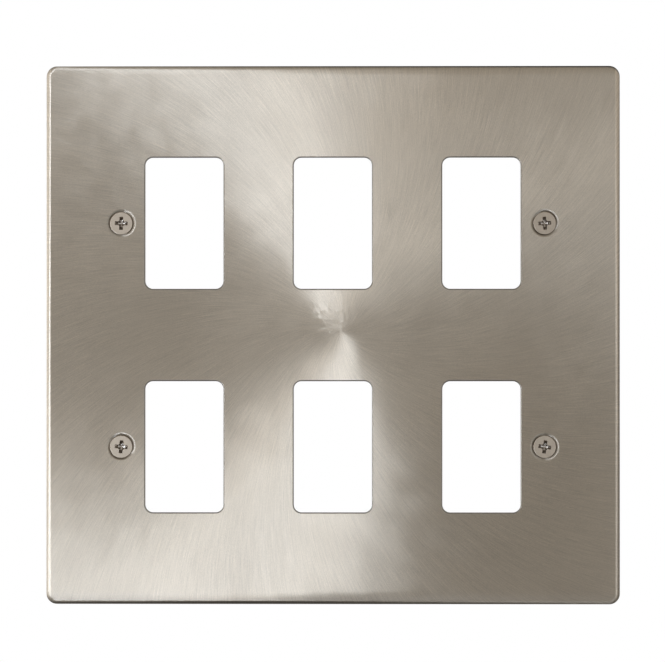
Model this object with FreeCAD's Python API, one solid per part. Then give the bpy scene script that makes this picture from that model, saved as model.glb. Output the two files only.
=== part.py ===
import FreeCAD, Part
import math
import os

# Front plate of a six gang grid switch, two rows of three apertures, with its four fixing screws.
# The plate is pressed from one metal sheet: a flat face, a drawn rim with a rounded edge, a hollow
# back, punched apertures for the switch modules and four pressed dimples that seat the screws.
# Millimetres, upright as on the wall: X to the right, Z up, the finished face towards -Y.
# The origin is the middle of the plate, in the plane where its rear rim meets the wall.

# Plate
plate_width = 146.0
plate_height = 137.0
plate_depth = 4.2
sheet = 1.0
corner_radius = 2.7
edge_radius = 0.9
inside_bend_radius = 0.25

# Apertures
columns = 3
rows = 2
column_pitch = 37.8
row_pitch = 56.9
aperture_width = 19.9
aperture_height = 33.4
aperture_corner_radius = 2.0
punched_edge_bevel = 0.25

# Screw seats, on the middle line of each row, beside the outer apertures
screw_from_aperture = 6.15
seat_half_angle = 45.0
seat_beyond_head = 0.45
seat_mouth_radius = 1.0
seat_clearance = 0.02
hole_clearance = 0.2
hole_land = 0.3

# Screws
thread_radius = 1.5
screw_length = 12.0
head_radius = 2.93
head_band = 0.22
head_rim_bevel = 0.1
neck_radius = 1.33
neck_length = 0.7
tip_chamfer = 0.45

# Cross recess in each head
recess_depth = 1.45
recess_taper = 26.5
recess_point = 0.2
wing_reach = 1.6
wing_width = 0.8
wing_draft = 3.0
core_reach = 1.12

# Side and tier of each screw, and how far its recess was turned when it was driven home, in degrees
screws = {
    "screw_top_left": (-1, 1, 2.0),
    "screw_top_right": (1, 1, -4.0),
    "screw_bottom_left": (-1, -1, 5.0),
    "screw_bottom_right": (1, -1, 8.0),
}

# Values worked out from the sizes above
overrun = 1.0
face_y = -plate_depth
sheet_back_y = face_y + sheet
inside_corner_radius = max(corner_radius - sheet, inside_bend_radius)
seat_slope = math.tan(math.radians(seat_half_angle))
seat_radius = head_radius + seat_beyond_head
hole_radius = thread_radius + hole_clearance
seat_depth = (seat_radius - hole_radius) / seat_slope
boss_depth = seat_depth + hole_land
seat_lift = seat_clearance / math.sin(math.radians(seat_half_angle))
head_cone_depth = seat_beyond_head / seat_slope - seat_lift
head_top_y = face_y + head_cone_depth - head_band
screw_x = (columns - 1) * column_pitch / 2 + aperture_width / 2 + screw_from_aperture
screw_z = (rows - 1) * row_pitch / 2


def rounded_rectangle(width, height, radius, y):
    """Closed wire about the Y axis, with its four corners as arcs."""
    half_x = width / 2
    half_z = height / 2
    flat_x = half_x - radius
    flat_z = half_z - radius
    corners = []
    for quarter in range(4):
        start = math.pi / 2 * quarter
        side_x = 1 if quarter in (0, 3) else -1
        side_z = 1 if quarter in (0, 1) else -1
        centre = FreeCAD.Vector(side_x * flat_x, y, side_z * flat_z)
        points = []
        for step in range(3):
            angle = start + math.pi / 4 * step
            points.append(centre + FreeCAD.Vector(math.cos(angle), 0, math.sin(angle)) * radius)
        corners.append(Part.Arc(*points).toShape())
    outline = []
    for index, corner in enumerate(corners):
        following = corners[(index + 1) % 4]
        outline.append(corner)
        outline.append(Part.makeLine(corner.lastVertex().Point, following.firstVertex().Point))
    return Part.Wire(outline)


def rounded_block(width, height, radius, front_y, back_y):
    """Solid with the outline of a rounded rectangle, from front_y to back_y."""
    outline = rounded_rectangle(width, height, radius, front_y)
    return Part.Face(outline).extrude(FreeCAD.Vector(0, back_y - front_y, 0))


def flat_face_at(shape, y):
    """The largest flat face of a shape that lies square to Y at the given height."""
    found = []
    for face in shape.Faces:
        box = face.BoundBox
        if abs(box.YMin - y) < 1e-6 and abs(box.YMax - y) < 1e-6:
            found.append(face)
    return max(found, key=lambda face: face.Area)


def turned(profile):
    """Solid of revolution about the Y axis, from a closed list of edges."""
    return Part.Face(Part.Wire(profile)).revolve(
        FreeCAD.Vector(0, 0, 0), FreeCAD.Vector(0, 1, 0), 360
    )


def line(first, second):
    """Straight edge between two points given as radius and Y."""
    return Part.makeLine(FreeCAD.Vector(*first, 0), FreeCAD.Vector(*second, 0))


def arc(first, middle, last):
    """Arc edge through three points given as radius and Y."""
    points = [FreeCAD.Vector(*point, 0) for point in (first, middle, last)]
    return Part.Arc(*points).toShape()


def aperture_places():
    """X and Z of the middle of each aperture, row by row from the top left."""
    places = []
    for row in range(rows):
        z = ((rows - 1) / 2 - row) * row_pitch
        for column in range(columns):
            x = (column - (columns - 1) / 2) * column_pitch
            places.append((x, z))
    return places


def screw_place(name):
    """Where a screw's axis meets the plane of the rear rim."""
    side, tier, _turn = screws[name]
    return FreeCAD.Vector(side * screw_x, 0, tier * screw_z)


def pressed_shell():
    """The sheet drawn into a shallow pan: rounded front edge, hollow back."""
    blank = rounded_block(plate_width, plate_height, corner_radius, face_y, 0)
    blank = blank.makeFillet(edge_radius, flat_face_at(blank, face_y).Edges)
    hollow = rounded_block(
        plate_width - 2 * sheet, plate_height - 2 * sheet, inside_corner_radius, sheet_back_y, overrun
    )
    hollow = hollow.makeFillet(inside_bend_radius, flat_face_at(hollow, sheet_back_y).Edges)
    return blank.cut(hollow)


def punch_apertures(plate):
    """Cut the apertures and break their front edges, as punching and brushing leave them."""
    punch = rounded_block(
        aperture_width, aperture_height, aperture_corner_radius, face_y - overrun, sheet_back_y + overrun
    )
    for x, z in aperture_places():
        plate = plate.cut(punch.translated(FreeCAD.Vector(x, 0, z)))
    face = flat_face_at(plate, face_y)
    punched = []
    for wire in face.Wires:
        if not wire.isSame(face.OuterWire):
            punched.extend(wire.Edges)
    return plate.makeChamfer(punched_edge_bevel, punched)


def seat_boss():
    """Back of a dimple: the sheet carried round the seat's cone at its own thickness."""
    half_angle = math.radians(seat_half_angle)
    root_depth = sheet / 2
    beyond = seat_radius + sheet / math.cos(half_angle)
    root_radius = beyond - root_depth * seat_slope
    end_radius = beyond - boss_depth * seat_slope
    return Part.makeCone(
        root_radius,
        end_radius,
        boss_depth - root_depth,
        FreeCAD.Vector(0, face_y + root_depth, 0),
        FreeCAD.Vector(0, 1, 0),
    )


def seat_cavity():
    """What the press and the drill leave open: rounded mouth, cone and screw hole."""
    half_angle = math.radians(seat_half_angle)
    bend = math.pi / 2 - half_angle
    tangent = seat_mouth_radius * math.tan(bend / 2)
    mouth_edge = seat_radius + tangent
    centre_y = face_y + seat_mouth_radius
    over_y = face_y - overrun
    end_y = face_y + boss_depth + overrun
    arc_middle = (
        mouth_edge - seat_mouth_radius * math.sin(bend / 2),
        centre_y - seat_mouth_radius * math.cos(bend / 2),
    )
    arc_end = (
        mouth_edge - seat_mouth_radius * math.sin(bend),
        centre_y - seat_mouth_radius * math.cos(bend),
    )
    seat_end = (hole_radius, face_y + seat_depth)
    return turned([
        line((0, over_y), (mouth_edge, over_y)),
        line((mouth_edge, over_y), (mouth_edge, face_y)),
        arc((mouth_edge, face_y), arc_middle, arc_end),
        line(arc_end, seat_end),
        line(seat_end, (hole_radius, end_y)),
        line((hole_radius, end_y), (0, end_y)),
        line((0, end_y), (0, over_y)),
    ])


def press_screw_seats(plate):
    """Form the four dimples and drill their holes."""
    boss = seat_boss()
    cavity = seat_cavity()
    for name in screws:
        plate = plate.fuse(boss.translated(screw_place(name)))
        plate = plate.cut(cavity.translated(screw_place(name)))
    return plate.removeSplitter()


def front_plate():
    """The whole pressed plate as one solid."""
    plate = pressed_shell()
    plate = punch_apertures(plate)
    return press_screw_seats(plate)


def screw_blank():
    """Countersunk screw without its recess: head towards -Y, the thread's run-out as a neck."""
    cone_y = face_y + head_cone_depth
    neck_y = cone_y + (head_radius - neck_radius) / seat_slope
    thread_y = neck_y + neck_length
    tip_y = head_top_y + screw_length
    corners = [
        (0, head_top_y),
        (head_radius - head_rim_bevel, head_top_y),
        (head_radius, head_top_y + head_rim_bevel),
        (head_radius, cone_y),
        (neck_radius, neck_y),
        (neck_radius, thread_y),
        (thread_radius, thread_y + thread_radius - neck_radius),
        (thread_radius, tip_y - tip_chamfer),
        (thread_radius - tip_chamfer, tip_y),
        (0, tip_y),
        (0, head_top_y),
    ]
    return turned([line(first, second) for first, second in zip(corners, corners[1:])])


def tapered_prism(half_x, half_z, taper_x, taper_z, turn):
    """Four sided prism into the head, with half sizes given at the head's top."""
    sections = []
    for depth in (-overrun, recess_depth):
        at_x = half_x - depth * math.tan(math.radians(taper_x))
        at_z = half_z - depth * math.tan(math.radians(taper_z))
        y = head_top_y + depth
        points = []
        for side_x, side_z in ((1, 1), (-1, 1), (-1, -1), (1, -1), (1, 1)):
            points.append(FreeCAD.Vector(side_x * at_x, y, side_z * at_z))
        sections.append(Part.makePolygon(points))
    prism = Part.makeLoft(sections, True, True)
    prism.rotate(FreeCAD.Vector(0, 0, 0), FreeCAD.Vector(0, 1, 0), turn)
    return prism


def cross_recess():
    """Driver recess: two crossed wings, a core that opens their inner corners, and a point."""
    wing = tapered_prism(wing_reach, wing_width / 2, recess_taper, wing_draft, 0)
    crossing = tapered_prism(wing_reach, wing_width / 2, recess_taper, wing_draft, 90)
    core_half = core_reach / math.sqrt(2)
    core_taper = math.degrees(math.atan(math.tan(math.radians(recess_taper)) / math.sqrt(2)))
    core = tapered_prism(core_half, core_half, core_taper, core_taper, 45)
    point_radius = core_half - recess_depth * math.tan(math.radians(core_taper))
    point = Part.makeCone(
        point_radius,
        0,
        recess_point,
        FreeCAD.Vector(0, head_top_y + recess_depth, 0),
        FreeCAD.Vector(0, 1, 0),
    )
    return wing.fuse([crossing, core, point]).removeSplitter()


def fixing_screw(name):
    """One screw, seated in its dimple, with its recess turned as it was driven."""
    _side, _tier, turn = screws[name]
    recess = cross_recess()
    recess.rotate(FreeCAD.Vector(0, 0, 0), FreeCAD.Vector(0, 1, 0), turn)
    return screw_blank().cut(recess).translated(screw_place(name))


nodes = {"front_plate": front_plate()}
for name in screws:
    nodes[name] = fixing_screw(name)

os.makedirs("parts", exist_ok=True)
for name, shape in nodes.items():
    shape.exportStep(os.path.join("parts", name + ".step"))
    print(name, "solids", len(shape.Solids), "volume", round(shape.Volume, 1))
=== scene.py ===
"""Looks of a six gang grid switch front plate: a pressed brushed nickel sheet and its fixing screws.

Sizes in the classes are millimetres, as on the drawing, and each finished mesh is scaled to metres.
X runs to the right across the plate, Z up, and the finished face looks towards -Y.
"""

import logging
import math
from collections.abc import Iterator
from contextlib import contextmanager
from dataclasses import dataclass, field
from enum import Enum

import bmesh
import bpy
from bmesh.types import BMEdge, BMesh, BMFace, BMVert
from mathutils import Euler, Matrix, Vector


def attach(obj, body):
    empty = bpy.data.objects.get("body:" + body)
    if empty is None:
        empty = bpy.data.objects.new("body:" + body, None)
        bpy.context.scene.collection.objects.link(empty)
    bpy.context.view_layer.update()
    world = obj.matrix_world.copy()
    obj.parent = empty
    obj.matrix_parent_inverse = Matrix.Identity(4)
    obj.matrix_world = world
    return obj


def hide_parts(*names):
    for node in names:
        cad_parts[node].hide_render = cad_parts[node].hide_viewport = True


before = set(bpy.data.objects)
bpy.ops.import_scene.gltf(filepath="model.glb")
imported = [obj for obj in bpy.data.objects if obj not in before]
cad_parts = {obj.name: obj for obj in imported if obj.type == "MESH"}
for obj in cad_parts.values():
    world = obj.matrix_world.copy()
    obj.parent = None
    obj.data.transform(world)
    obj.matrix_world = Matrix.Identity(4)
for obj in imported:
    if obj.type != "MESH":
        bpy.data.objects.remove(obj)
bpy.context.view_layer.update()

# One millimetre in metres.
MM = 0.001

# Edges that turn further than this stay sharp.
SHARP_ANGLE = math.radians(32)

# Width of the strip beside a rounding that keeps the shading of the flat next to it even.
SUPPORT = 0.05

# Distances below which two corners are one, and below which a corner lies at a height.
SAME_CORNER = 1e-4
SAME_HEIGHT = 1e-5

# The part of the noise's range that brush lines and plating clouds use.
LINE_SPAN = (0.2, 0.8)
CLOUD_SPAN = (0.25, 0.75)

log = logging.getLogger("grid_plate")


def quarter_bend(radius: float, steps: int) -> list[tuple[float, float]]:
    """Points round a quarter bend between a wall and a face.

    Args:
        radius: Outside radius of the bend.
        steps: How many straight runs stand for the bend.

    Returns:
        Distance from the wall and distance below the face, from the wall to the face.
    """
    points = []
    for step in range(steps + 1):
        angle = math.pi / 2 * step / steps
        points.append((radius * (1 - math.cos(angle)), radius * (1 - math.sin(angle))))
    return points


class MetalPiece:
    """One piece of metal under construction, as a bmesh in millimetres."""

    def __init__(self) -> None:
        """Starts an empty piece."""
        self.mesh: BMesh = bmesh.new()

    def wall(
        self,
        size: tuple[float, float],
        radius: float,
        centre: tuple[float, float],
        levels: list[tuple[float, float]],
        steps: int,
    ) -> None:
        """Adds a wall that follows a rounded rectangle.

        Args:
            size: Width along X and height along Z of the rectangle.
            radius: Radius of its corners.
            centre: X and Z of its middle.
            levels: How far the wall stands outside the rectangle, and Y, from one end to the other.
            steps: Straight runs in each corner.
        """
        place = Matrix.Translation((centre[0], 0, centre[1])) @ Matrix.Rotation(math.pi / 2, 4, "X")
        made = bmesh.ops.create_grid(
            self.mesh, x_segments=1, y_segments=1, size=0.5, matrix=place @ Matrix.Diagonal((*size, 1, 1))
        )
        rounded = bmesh.ops.bevel(
            self.mesh,
            geom=made["verts"],
            affect="VERTICES",
            offset=radius,
            segments=steps,
            profile=0.5,
            material=-1,
        )
        start = rounded["verts"][0].link_faces[0]
        loop = list(start.edges)
        bmesh.ops.delete(self.mesh, geom=[start], context="FACES_ONLY")
        for index, (outset, y) in enumerate(levels):
            if index:
                grown = bmesh.ops.extrude_edge_only(self.mesh, edges=loop)["geom"]
                loop = [item for item in grown if isinstance(item, BMEdge)]
            for corner in {corner for edge in loop for corner in edge.verts}:
                offset = (corner.co.x - centre[0], corner.co.z - centre[1])
                pivot = [math.copysign(side / 2 - radius, part) for side, part in zip(size, offset)]
                reach = math.dist(offset, pivot)
                share = (radius + outset) / reach
                x, z = (
                    middle + turn + (part - turn) * share
                    for middle, turn, part in zip(centre, pivot, offset)
                )
                corner.co = (x, y, z)

    def turned(self, profile: list[tuple[float, float]], axis: tuple[float, float], steps: int) -> None:
        """Turns a profile about an axis that runs along Y.

        Args:
            profile: Radius and Y of each point.
            axis: X and Z of the axis.
            steps: How many steps the full turn takes.
        """
        points = [self.mesh.verts.new((axis[0] + radius, y, axis[1])) for radius, y in profile]
        chain = [self.mesh.edges.new(pair) for pair in zip(points, points[1:])]
        bmesh.ops.spin(
            self.mesh,
            geom=points + chain,
            cent=(axis[0], 0, axis[1]),
            axis=(0, 1, 0),
            angle=2 * math.pi,
            steps=steps,
            use_merge=True,
        )

    def open_edges(self, y: float) -> list[BMEdge]:
        """Finds the edges with an open side that lie at one height.

        Args:
            y: The height, along Y.

        Returns:
            The edges.
        """
        found = []
        for edge in self.mesh.edges:
            level = all(abs(corner.co.y - y) < SAME_HEIGHT for corner in edge.verts)
            if level and len(edge.link_faces) < 2:
                found.append(edge)
        return found

    def fill_flat(self, y: float) -> None:
        """Closes the flat that lies between all open edges at one height, round its holes."""
        bmesh.ops.triangle_fill(self.mesh, edges=self.open_edges(y), use_beauty=True, normal=(0, -1, 0))

    @contextmanager
    def dressed(self, finish: Enum) -> Iterator[None]:
        """Gives every face made inside the with block one finish.

        Args:
            finish: The finish, whose value is the place of its material.

        Yields:
            Nothing, once, for the with block.
        """
        before = set(self.mesh.faces)
        yield
        for face in self.mesh.faces:
            if face not in before:
                face.material_index = finish.value

    def finished(
        self, name: str, node: str, materials: list[bpy.types.Material]
    ) -> bpy.types.Object:
        """Closes the work and makes the shown object.

        Args:
            name: Name of the new object.
            node: CAD node that it stands for.
            materials: Blender materials, in the order of the finishes.

        Returns:
            The object, at the origin, with its place in its mesh.
        """
        bmesh.ops.remove_doubles(self.mesh, verts=self.mesh.verts, dist=SAME_CORNER)
        bmesh.ops.recalc_face_normals(self.mesh, faces=self.mesh.faces)
        bmesh.ops.scale(self.mesh, vec=(MM, MM, MM), verts=self.mesh.verts)
        for face in self.mesh.faces:
            face.smooth = True
        for edge in self.mesh.edges:
            edge.smooth = edge.is_manifold and edge.calc_face_angle() < SHARP_ANGLE
        open_count = sum(1 for edge in self.mesh.edges if not edge.is_manifold)
        data = bpy.data.meshes.new(name)
        self.mesh.to_mesh(data)
        self.mesh.free()
        for material in materials:
            data.materials.append(material)
        piece = bpy.data.objects.new(name, data)
        bpy.context.collection.objects.link(piece)
        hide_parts(node)
        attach(piece, "root")
        log.info("%s: %d faces, %d open edges", name, len(data.polygons), open_count)
        return piece


class PlateFinish(Enum):
    """Finish of a face of the plate, as the place of its material."""

    FACE = 0
    BACK = 1
    PUNCHED = 2


class ScrewFinish(Enum):
    """Finish of a face of a screw, as the place of its material."""

    TURNED = 0
    RECESS = 1


class Side(Enum):
    """Side of the plate, as a sign along X."""

    LEFT = -1
    RIGHT = 1


class Tier(Enum):
    """Row of apertures, as a sign along Z."""

    TOP = 1
    BOTTOM = -1


@dataclass(frozen=True)
class ScrewSpot:
    """Where one fixing screw sits, and how far it was turned when it was driven home.

    Args:
        side: Side of the plate.
        tier: Row of apertures that it stands beside.
        turn: Degrees that its recess is turned.
    """

    side: Side
    tier: Tier
    turn: float

    @property
    def name(self) -> str:
        """Name of the CAD node at this spot."""
        return f"screw_{self.tier.name}_{self.side.name}".lower()


@dataclass
class PressedPlate:
    """The front plate, pressed from one sheet, with its apertures and screw seats.

    Args:
        width: Width of the plate.
        height: Its height.
        depth: Its depth, from the face to the rear rim.
        sheet: Thickness of the sheet.
        corner_radius: Radius of its corners, seen from the front.
        edge_radius: How deep the rounding of the front edge goes.
        edge_roll: How far it runs onto the face.
        inside_bend_radius: Radius of the bend inside the hollow.
        rim_break: Radius of the rear rim's broken edges.
        columns: How many apertures lie in a row.
        rows: How many rows there are.
        column_pitch: Distance between the middles of two columns.
        row_pitch: The same for two rows.
        aperture_width: Width of an aperture.
        aperture_height: Its height.
        aperture_corner_radius: Radius of its corners.
        punched_edge: Radius of its front edge.
        punched_back: Radius of its back edge.
        screw_from_aperture: Distance of a screw's axis from the aperture beside it.
        seat_radius: Radius at which a screw seat's cone would meet the face.
        seat_mouth_radius: Radius of the rounding there.
        hole_radius: Radius of a screw hole.
        hole_land: Length of its straight part.
        boss_corner: Size of the roundings at a dimple's back.
        corner_steps: Straight runs in each corner.
        bend_steps: The same in the front edge.
        inside_bend_steps: The same in the inside bend.
        punched_steps: The same in an aperture's front edge.
        break_steps: The same in each broken edge.
        mouth_steps: The same in a seat's mouth.
        turn_steps: Steps of a full turn.
        spots: Where the screws sit.
    """

    width: float = 146.0
    height: float = 137.0
    depth: float = 4.2
    sheet: float = 1.0
    corner_radius: float = 2.7
    edge_radius: float = 0.9
    edge_roll: float = 1.2
    inside_bend_radius: float = 0.25
    rim_break: float = 0.1
    columns: int = 3
    rows: int = 2
    column_pitch: float = 37.8
    row_pitch: float = 56.9
    aperture_width: float = 19.9
    aperture_height: float = 33.4
    aperture_corner_radius: float = 2.0
    punched_edge: float = 0.25
    punched_back: float = 0.08
    screw_from_aperture: float = 6.15
    seat_radius: float = 3.38
    seat_mouth_radius: float = 1.0
    hole_radius: float = 1.7
    hole_land: float = 0.3
    boss_corner: float = 0.12
    corner_steps: int = 10
    bend_steps: int = 9
    inside_bend_steps: int = 4
    punched_steps: int = 5
    break_steps: int = 2
    mouth_steps: int = 6
    turn_steps: int = 72
    spots: tuple[ScrewSpot, ...] = (
        ScrewSpot(Side.LEFT, Tier.TOP, 2.0),
        ScrewSpot(Side.RIGHT, Tier.TOP, -4.0),
        ScrewSpot(Side.LEFT, Tier.BOTTOM, 5.0),
        ScrewSpot(Side.RIGHT, Tier.BOTTOM, 8.0),
    )

    @property
    def face_y(self) -> float:
        """Y of the finished face."""
        return -self.depth

    @property
    def back_y(self) -> float:
        """Y of the sheet's back."""
        return self.sheet - self.depth

    def screw_axis(self, spot: ScrewSpot) -> tuple[float, float]:
        """Finds a screw's axis.

        Args:
            spot: Where the screw sits.

        Returns:
            X and Z of the axis.
        """
        outer_aperture = (self.columns - 1) * self.column_pitch / 2 + self.aperture_width / 2
        x = spot.side.value * (outer_aperture + self.screw_from_aperture)
        return x, spot.tier.value * (self.rows - 1) * self.row_pitch / 2

    def outside(self, work: MetalPiece) -> None:
        """Adds the drawn wall and the rounded edge, from the rear rim to the face.

        Args:
            work: The piece under construction.
        """
        levels = [(-inset, -below) for below, inset in quarter_bend(self.rim_break, self.break_steps)]
        levels.append((0, -self.rim_break - SUPPORT))
        levels.append((0, self.face_y + self.edge_radius + SUPPORT))
        for inset, below in quarter_bend(self.edge_radius, self.bend_steps):
            levels.append((-inset * self.edge_roll / self.edge_radius, self.face_y + below))
        levels.append((-self.edge_roll - SUPPORT, self.face_y))
        work.wall((self.width, self.height), self.corner_radius, (0, 0), levels, self.corner_steps)

    def hollow(self, work: MetalPiece) -> None:
        """Adds the inside of the wall, from the rear rim to the sheet's back.

        Args:
            work: The piece under construction.
        """
        levels = [(inset, -below) for below, inset in quarter_bend(self.rim_break, self.break_steps)]
        levels.append((0, -self.rim_break - SUPPORT))
        levels.append((0, self.back_y + self.inside_bend_radius + SUPPORT))
        for inset, below in quarter_bend(self.inside_bend_radius, self.inside_bend_steps):
            levels.append((-inset, self.back_y + below))
        levels.append((-self.inside_bend_radius - SUPPORT, self.back_y))
        size = (self.width - 2 * self.sheet, self.height - 2 * self.sheet)
        work.wall(size, self.corner_radius - self.sheet, (0, 0), levels, self.corner_steps)

    def aperture(self, work: MetalPiece, centre: tuple[float, float]) -> None:
        """Adds the wall of one punched aperture, with the edges that punching and brushing leave.

        Args:
            work: The piece under construction.
            centre: X and Z of its middle.
        """
        front = quarter_bend(self.punched_edge, self.punched_steps)
        back = quarter_bend(self.punched_back, self.break_steps)
        levels = [(self.punched_edge + SUPPORT, self.face_y)]
        levels += [(outset, self.face_y + below) for outset, below in reversed(front)]
        levels.append((0, self.face_y + self.punched_edge + SUPPORT))
        levels.append((0, self.back_y - self.punched_back - SUPPORT))
        levels += [(outset, self.back_y - below) for outset, below in back]
        levels.append((self.punched_back + SUPPORT, self.back_y))
        size = (self.aperture_width, self.aperture_height)
        work.wall(size, self.aperture_corner_radius, centre, levels, self.corner_steps)

    def seat_front(self) -> list[tuple[float, float]]:
        """Profile of a dimple from the face to the hole: rounded mouth, 45 degree cone, hole.

        Returns:
            Radius and Y of each point.
        """
        slope = math.pi / 4
        mouth_edge = self.seat_radius + self.seat_mouth_radius * math.tan(slope / 2)
        profile = [(mouth_edge + SUPPORT, self.face_y)]
        for step in range(self.mouth_steps + 1):
            angle = slope * step / self.mouth_steps
            radius = mouth_edge - self.seat_mouth_radius * math.sin(angle)
            profile.append((radius, self.face_y + self.seat_mouth_radius * (1 - math.cos(angle))))
        seat_end = self.face_y + self.seat_radius - self.hole_radius
        profile.append((self.hole_radius + SUPPORT, seat_end - SUPPORT))
        profile.append((self.hole_radius, seat_end + SUPPORT))
        profile.append((self.hole_radius, self.boss_end - SUPPORT))
        profile.append((self.hole_radius + SUPPORT, self.boss_end))
        return profile

    @property
    def boss_end(self) -> float:
        """Y of the end of a dimple's back."""
        return self.face_y + self.seat_radius - self.hole_radius + self.hole_land

    def seat_back(self) -> list[tuple[float, float]]:
        """Profile of a dimple's back, from its end to the sheet's back.

        Returns:
            Radius and Y of each point.
        """
        beyond = self.seat_radius + self.sheet * math.sqrt(2)
        end_radius = beyond - (self.boss_end - self.face_y)
        root_radius = beyond - self.sheet
        corner = self.boss_corner
        return [
            (self.hole_radius + SUPPORT, self.boss_end),
            (end_radius - corner, self.boss_end),
            (end_radius - corner / 3, self.boss_end - corner / 4),
            (end_radius + corner / 2, self.boss_end - corner / 2 - corner / 4),
            (root_radius - corner, self.back_y + corner),
            (root_radius + corner / 2, self.back_y + corner / 5),
            (root_radius + 2 * corner, self.back_y),
            (root_radius + 2 * corner + SUPPORT, self.back_y),
        ]

    def build(self, materials: list[bpy.types.Material]) -> bpy.types.Object:
        """Builds the plate.

        Args:
            materials: The finish of the face, of the hollow back and of the punched edges, darkened as
                painted shade.

        Returns:
            The plate as one closed mesh.
        """
        work = MetalPiece()
        self.outside(work)
        for spot in self.spots:
            work.turned(self.seat_front(), self.screw_axis(spot), self.turn_steps)
        with work.dressed(PlateFinish.PUNCHED):
            for row in range(self.rows):
                for column in range(self.columns):
                    x = (column - (self.columns - 1) / 2) * self.column_pitch
                    z = ((self.rows - 1) / 2 - row) * self.row_pitch
                    self.aperture(work, (x, z))
        work.fill_flat(self.face_y)
        with work.dressed(PlateFinish.BACK):
            self.hollow(work)
            work.fill_flat(0)
            for spot in self.spots:
                work.turned(self.seat_back(), self.screw_axis(spot), self.turn_steps)
            work.fill_flat(self.back_y)
        return work.finished("pressed_plate", "front_plate", materials)


@dataclass
class FixingScrew:
    """A countersunk machine screw with a cross recess and a rolled thread.

    Args:
        length: Length from the head's top to the tip.
        head_top_y: Y of the head's top.
        head_radius: Radius of the head.
        head_band: Height of the straight band round it.
        band_break: Size of the broken edge under the band.
        rim_bevel: Radius of the rounding at the head's rim.
        neck_radius: Radius of the neck.
        neck_length: Its length.
        neck_break: Size of the rounding between the cone and the neck.
        thread_radius: Radius of the thread's crest.
        thread_root: Radius of its root.
        thread_pitch: Its pitch.
        flank_angle: Degrees that a flank leans.
        fade_turns: Turns over which it comes in.
        tip_chamfer: Chamfer at the tip.
        recess_depth: Depth of the recess's wings.
        recess_point: How much deeper its point goes.
        recess_rim: Width of its broken rim.
        recess_floor_scale: Size of the wings' floor, as a share of their top.
        recess_point_scale: Size of the point, as a share of the floor.
        wing_reach: Distance of a wing's tip from the axis.
        wing_width: Width of a wing.
        inner_corner: How much of each inner corner the core opens.
        wing_tip_corner: How much of each corner of a wing's tip is rounded off.
        bevel_steps: Straight runs in the rim's rounding.
        corner_steps: The same in the recess's corners.
        turn_steps: Steps of a full turn of the head.
        thread_steps: The same of the thread.
    """

    length: float = 12.0
    head_top_y: float = -3.998
    head_radius: float = 2.93
    head_band: float = 0.22
    band_break: float = 0.03
    rim_bevel: float = 0.18
    neck_radius: float = 1.33
    neck_length: float = 0.7
    neck_break: float = 0.05
    thread_radius: float = 1.5
    thread_root: float = 1.2
    thread_pitch: float = 0.5
    flank_angle: float = 30.0
    fade_turns: float = 1.5
    tip_chamfer: float = 0.45
    recess_depth: float = 1.45
    recess_point: float = 0.2
    recess_rim: float = 0.05
    recess_floor_scale: float = 0.56
    recess_point_scale: float = 0.15
    wing_reach: float = 1.6
    wing_width: float = 0.86
    inner_corner: float = 0.42
    wing_tip_corner: float = 0.14
    bevel_steps: int = 4
    corner_steps: int = 5
    turn_steps: int = 64
    thread_steps: int = 36

    @property
    def thread_y(self) -> float:
        """Y where the neck ends and the thread starts."""
        return self.head_top_y + self.head_band + self.head_radius - self.neck_radius + self.neck_length

    @property
    def tip_y(self) -> float:
        """Y of the tip."""
        return self.head_top_y + self.length

    def head(self, work: MetalPiece) -> None:
        """Adds the head and the neck, open at the top and where the thread starts.

        Args:
            work: The piece under construction.
        """
        band_y = self.head_top_y + self.head_band
        neck_y = self.thread_y - self.neck_length
        profile = [(self.head_radius - self.rim_bevel - SUPPORT, self.head_top_y)]
        for inset, below in reversed(quarter_bend(self.rim_bevel, self.bevel_steps)):
            profile.append((self.head_radius - inset, self.head_top_y + below))
        profile.append((self.head_radius, band_y - self.band_break))
        profile.append((self.head_radius - self.band_break, band_y + self.band_break))
        profile.append((self.neck_radius + self.neck_break, neck_y - self.neck_break))
        profile.append((self.neck_radius, neck_y + self.neck_break))
        profile.append((self.neck_radius, self.thread_y - SUPPORT))
        work.turned(profile, (0, 0), self.turn_steps)

    def cross(self, work: MetalPiece) -> BMFace:
        """Adds the outline of the recess as one face at the head's top.

        Args:
            work: The piece under construction.

        Returns:
            The face.
        """
        before = set(work.mesh.faces)
        lay = Matrix.Translation((0, self.head_top_y, 0)) @ Matrix.Rotation(math.pi / 2, 4, "X")
        made = bmesh.ops.create_grid(work.mesh, x_segments=3, y_segments=3, size=1.5, matrix=lay)
        # The grid's lines start at 0.5 and 1.5, and at the wings' sizes 1 still lies between them.
        between = 1.0
        reach = self.wing_reach + self.recess_rim
        half_width = self.wing_width / 2 + self.recess_rim
        for corner in made["verts"]:
            for axis in (0, 2):
                side = math.copysign(1, corner.co[axis])
                corner.co[axis] = side * (reach if abs(corner.co[axis]) > between else half_width)
        cells = [face for face in work.mesh.faces if face not in before]
        outer = [cell for cell in cells if min(abs(n) for n in cell.calc_center_median().xz) > half_width]
        bmesh.ops.delete(work.mesh, geom=outer, context="FACES")
        cells = [face for face in work.mesh.faces if face not in before]
        outline = bmesh.ops.dissolve_faces(work.mesh, faces=cells, use_verts=False)["region"][0]
        inner = [corner for corner in outline.verts if max(abs(n) for n in corner.co.xz) < between]
        tips = [corner for corner in outline.verts if max(abs(n) for n in corner.co.xz) > between]
        for corners, offset in ((inner, self.inner_corner), (tips, self.wing_tip_corner)):
            bmesh.ops.bevel(
                work.mesh,
                geom=corners,
                affect="VERTICES",
                offset=offset,
                segments=self.corner_steps,
                profile=0.5,
                material=-1,
            )
        return next(face for face in work.mesh.faces if face not in before)

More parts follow.
